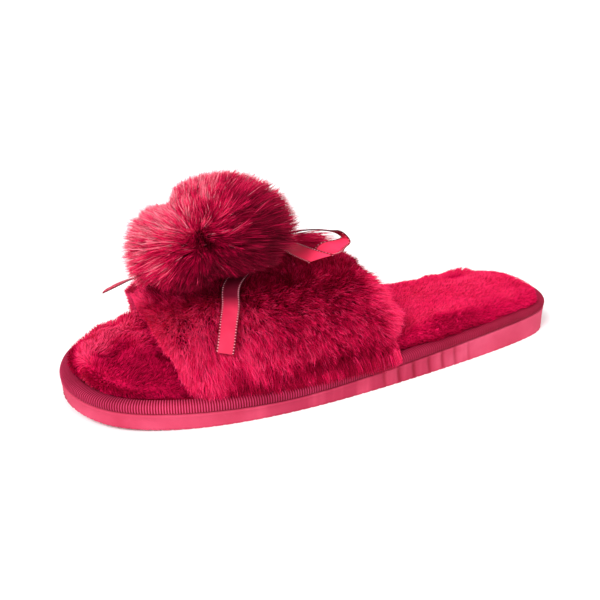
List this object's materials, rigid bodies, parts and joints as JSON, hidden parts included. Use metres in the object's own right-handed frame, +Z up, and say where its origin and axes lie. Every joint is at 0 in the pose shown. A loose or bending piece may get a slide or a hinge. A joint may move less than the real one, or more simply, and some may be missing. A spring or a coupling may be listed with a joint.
{
  "type": "fuzzy slipper",
  "caption": "Left slipper for the house: low wedge sole with a ribbon-bound edge, thick plush footbed, and a furry band open at toe and heel with a ribbon bow and a furry pompom.",
  "frame": {"origin": "middle of the bounding box at floor level, under the arch of the foot", "axes": "+X toward the toe, +Y toward the outer side of the left foot, +Z up from the floor"},
  "size_m": [0.26, 0.097, 0.1004],
  "materials": {
    "outsole": "matte foam sole, slightly napped side",
    "insole": "deep plush",
    "edge_binding": "ribbed woven tape",
    "upper": "long-haired fake fur on cloth",
    "ribbon_bow": "satin ribbon with stitched edges",
    "pompom": "long-haired fake fur"
  },
  "bodies": {
    "root": {"outsole": "outsole", "insole": "insole", "edge_binding": "edge_binding", "upper": "upper", "ribbon_bow": "ribbon_bow", "pompom": "pompom"}
  },
  "joints": []
}
